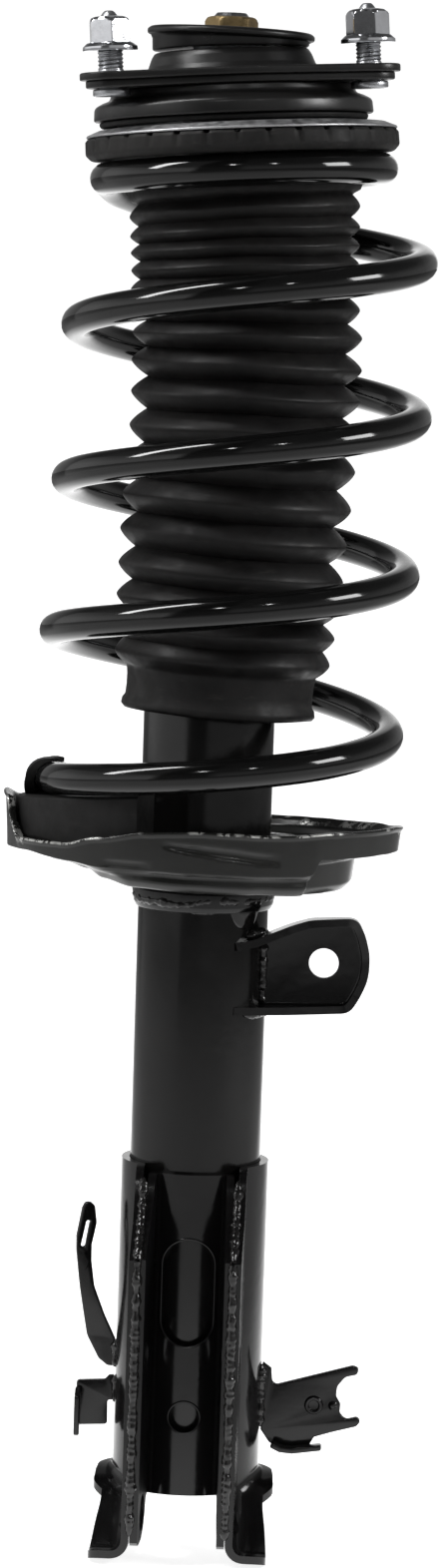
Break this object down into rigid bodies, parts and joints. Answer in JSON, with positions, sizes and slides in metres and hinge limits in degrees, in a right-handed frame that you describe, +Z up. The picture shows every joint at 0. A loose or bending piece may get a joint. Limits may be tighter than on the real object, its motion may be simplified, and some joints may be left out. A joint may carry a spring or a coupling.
{
  "type": "strut assembly",
  "caption": "Loaded suspension strut: damper tube with sliding rod, coil spring, bellows boot, turning three-stud top mount, slotted knuckle bracket and small welded brackets.",
  "frame": {"origin": "centre of the flat closed bottom of the damper tube", "axes": "+Z up the damper axis towards the top mount; the slot of the knuckle bracket opens towards -Y; the link bracket is on the +X side"},
  "size_m": [0.162, 0.1458, 0.5982],
  "materials": {
    "gloss_black": "gloss",
    "spring_black": "gloss",
    "satin_black": "satin",
    "rubber_black": "matte",
    "boot_rubber": "matte",
    "foam": "matte",
    "bearing_steel": "satin",
    "rod_chrome": "polished",
    "zinc": "satin",
    "bright_zinc": "bright",
    "yellow_zinc": "satin",
    "grey_steel": "brushed",
    "cage_plastic": "matte"
  },
  "bodies": {
    "strut_body": {"outer_tube": "gloss_black", "base_cup": "gloss_black", "foot_valve": "bearing_steel", "inner_cylinder": "bearing_steel", "rod_guide": "bearing_steel", "rod_seal": "rubber_black", "tube_cap": "satin_black", "lower_spring_seat": "gloss_black", "seat_collar": "gloss_black", "lower_insulator": "rubber_black", "knuckle_bracket": "gloss_black", "bracket_reinforcement": "gloss_black", "link_bracket": "gloss_black", "hose_bracket": "gloss_black", "wire_arm": "gloss_black", "wire_foot": "gloss_black", "coil_spring": "spring_black"},
    "rod": {"piston_rod": "rod_chrome", "piston": "bearing_steel", "piston_nut": "zinc", "rebound_stop": "rubber_black", "bump_stop": "foam", "dust_boot": "boot_rubber", "upper_spring_seat": "grey_steel", "upper_insulator": "rubber_black", "lower_race": "bearing_steel", "ball_cage": "cage_plastic", "inner_sleeve": "zinc", "rebound_dish": "satin_black", "top_nut": "yellow_zinc"},
    "mount": {"mount_plate": "satin_black", "rubber_bush": "rubber_black", "mount_housing": "satin_black", "upper_race": "bearing_steel", "bearing_seal": "rubber_black", "stud_1": "zinc", "stud_2": "zinc", "stud_3": "zinc", "stud_nut_1": "bright_zinc", "stud_nut_2": "bright_zinc", "stud_nut_3": "bright_zinc"}
  },
  "joints": [
    {"name": "stroke", "type": "slide", "parent": "strut_body", "child": "rod", "axis": [0, 0, 1], "range_m": [-0.14, 0], "stiffness_N_per_m": 22000, "springref_m": 0.09, "deforming": ["coil_spring", "bump_stop", "dust_boot"]},
    {"name": "steer", "type": "hinge", "parent": "rod", "child": "mount", "pos_m": [0.0006, 0, 0.556], "axis": [-0.068, 0, 0.9977], "range_deg": [-40, 40]}
  ]
}
